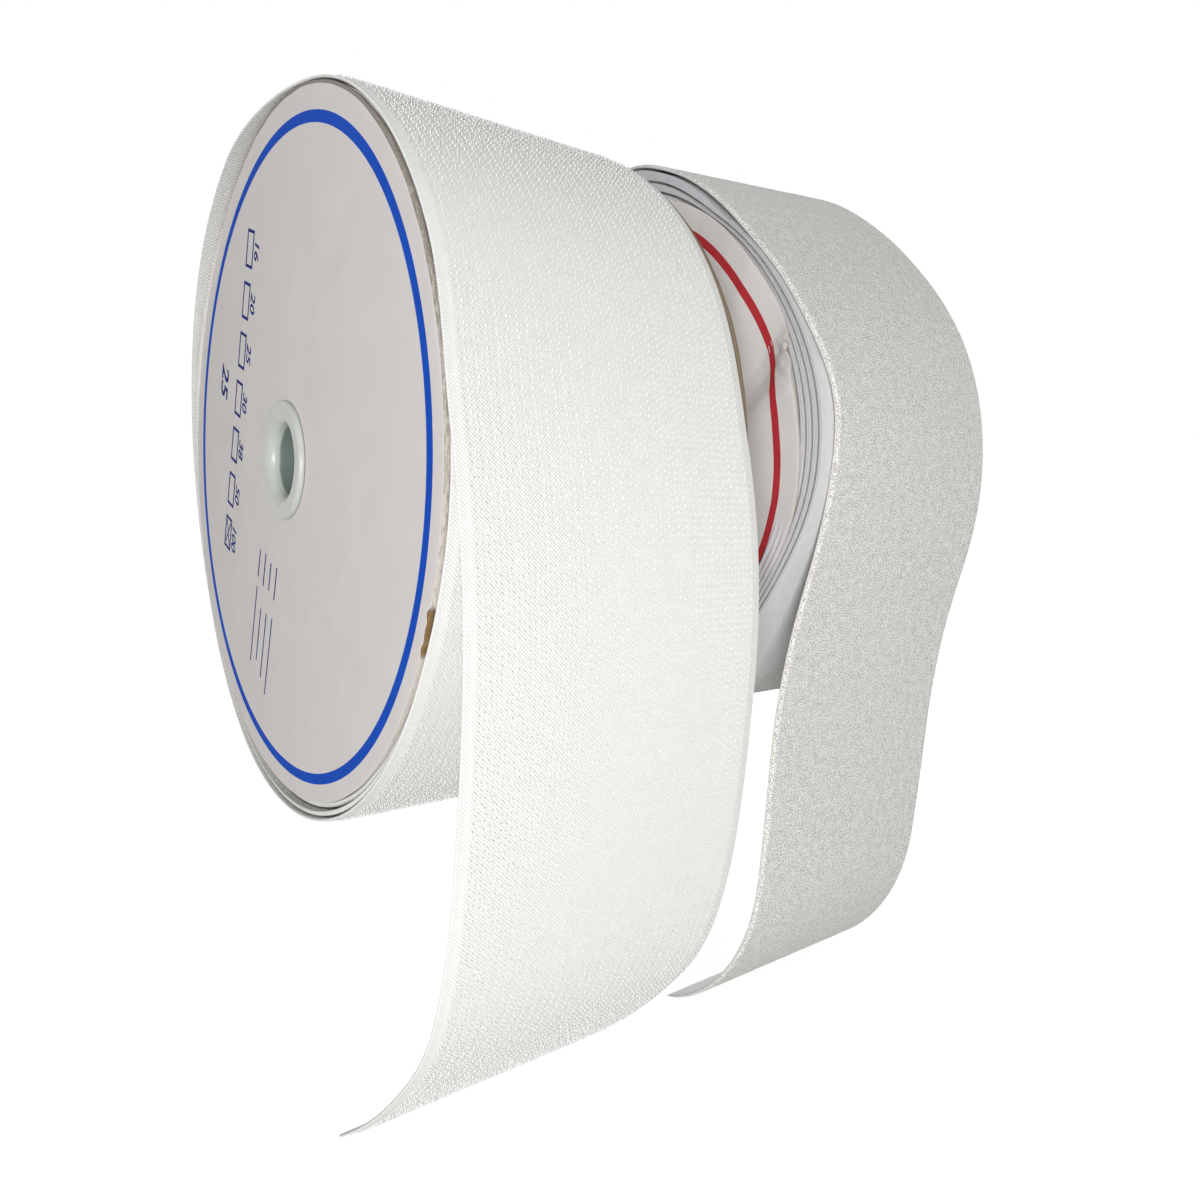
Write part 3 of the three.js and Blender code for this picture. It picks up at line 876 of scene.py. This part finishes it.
def numbers(name):
    """Plain numbers by the boxes and one larger one, each an outline text filled flat and laid on the
    label."""
    texts = []
    for k, text in enumerate(BOX_NUMBERS):
        texts.append((text, NUMBER_SIZE, NUMBER_FIRST + BOX_PITCH * k, NUMBER_ACROSS))
    texts.append(LARGE_NUMBER)
    points, faces, first = [], [], 0
    for text, size, a, b in texts:
        curve = bpy.data.curves.new(name, "FONT")
        curve.body, curve.size, curve.align_x, curve.shear = text, size, "CENTER", 0.15
        curve.offset = 0.022 * size
        letters = bpy.data.objects.new(name, curve)
        flat = bpy.data.meshes.new_from_object(letters)
        flat.calc_loop_triangles()
        co, corners = np.empty(3 * len(flat.vertices)), np.empty(3 * len(flat.loop_triangles), np.int32)
        flat.vertices.foreach_get("co", co)
        flat.loop_triangles.foreach_get("vertices", corners)
        points.append(lay_on_label(a + co[0::3], b + co[1::3]))
        faces.append(first + corners.reshape(-1, 3)[:, [2, 1, 0, 0]])
        first += len(flat.vertices)
        bpy.data.objects.remove(letters)
        bpy.data.curves.remove(curve)
        bpy.data.meshes.remove(flat)
    return small_bodies(name, np.concatenate(points), np.concatenate(faces), INK)


seat(numbers("hook_label_numbers"), "hook_roll")
seat(marks("hook_label_marks"), "hook_roll")


# Camera, floor and light, in metres

camera = place("camera", bpy.data.cameras.new("camera"))
camera.data.lens, camera.data.sensor_width, camera.data.clip_start = 27.0, 36.0, 0.01
camera_at = Vector((0.31696, -0.15608, 0.0036))
camera_turn = Euler(np.radians((81.573, -2.989, 52.818)))
camera.matrix_world = Matrix.LocRotScale(camera_at, camera_turn, None)
bpy.context.scene.camera = camera

FLOOR_Z, FLOOR_HALF, FLOOR_GREY = -0.224, 8.0, 0.42
WORLD_LIGHT = 0.29
AIM = Vector((0, 0.07, 0))


def seen(tree):
    """1 on rays that show the background: straight to the camera, in a reflection or through something
    clear."""
    path = add(tree, "LightPath").outputs
    either = add(tree, "Math", {0: path["Is Camera Ray"], 1: path["Is Glossy Ray"]}, operation="MAXIMUM")
    return add(tree, "Math", {0: either, 1: path["Is Transmission Ray"]}, operation="MAXIMUM")


floor_mesh = bpy.data.meshes.new("floor")
corners = [(x * FLOOR_HALF, y * FLOOR_HALF, FLOOR_Z) for x, y in ((-1, -1), (1, -1), (1, 1), (-1, 1))]
floor_mesh.from_pydata(corners, [], [(0, 1, 2, 3)])
# A matt floor that shows white and still takes the shadow near the object, where its own glow is less
white, tree, shader = surface("white_studio_floor", Base_Color=(FLOOR_GREY, FLOOR_GREY, FLOOR_GREY, 1),
                              Roughness=0.9, Specular_IOR_Level=0.0, Emission_Color=(1, 1, 1, 1))
spot = add(tree, "TexCoord").outputs["Object"]
away = add(tree, "VectorMath", {0: spot}, operation="LENGTH").outputs["Value"]
fade = add(tree, "MapRange", {0: away, 1: 0.3, 2: 0.9, 3: 0.84, 4: 1.0})
glow = add(tree, "Math", {0: seen(tree), 1: fade}, operation="MULTIPLY")
wire(tree, shader, {"Emission Strength": glow})
floor_mesh.materials.append(white)
floor = place("floor", floor_mesh)

world = bpy.data.worlds.new("studio")
bpy.context.scene.world = world
world.use_nodes = True
tree = world.node_tree
level = add(tree, "MapRange", {0: seen(tree), 3: WORLD_LIGHT, 4: 1.0})
wire(tree, tree.nodes["Background"], {"Color": (1, 1, 1, 1), "Strength": level})


def lamp(name, at, wide, tall, power):
    """An oblong soft light that faces the object."""
    light = bpy.data.lights.new(name, "AREA")
    light.shape, light.size, light.size_y, light.energy = "RECTANGLE", wide, tall, power
    turn = (AIM - Vector(at)).to_track_quat("-Z", "Y")
    place(name, light).matrix_world = Matrix.LocRotScale(Vector(at), turn, None)


lamp("key", (0.97, -0.72, -0.09), wide=0.4, tall=0.22, power=12.1)
lamp("back_fill", (-0.85, 1.0, 0.15), wide=0.6, tall=0.5, power=7.0)

bpy.context.scene.view_settings.view_transform = "Standard"
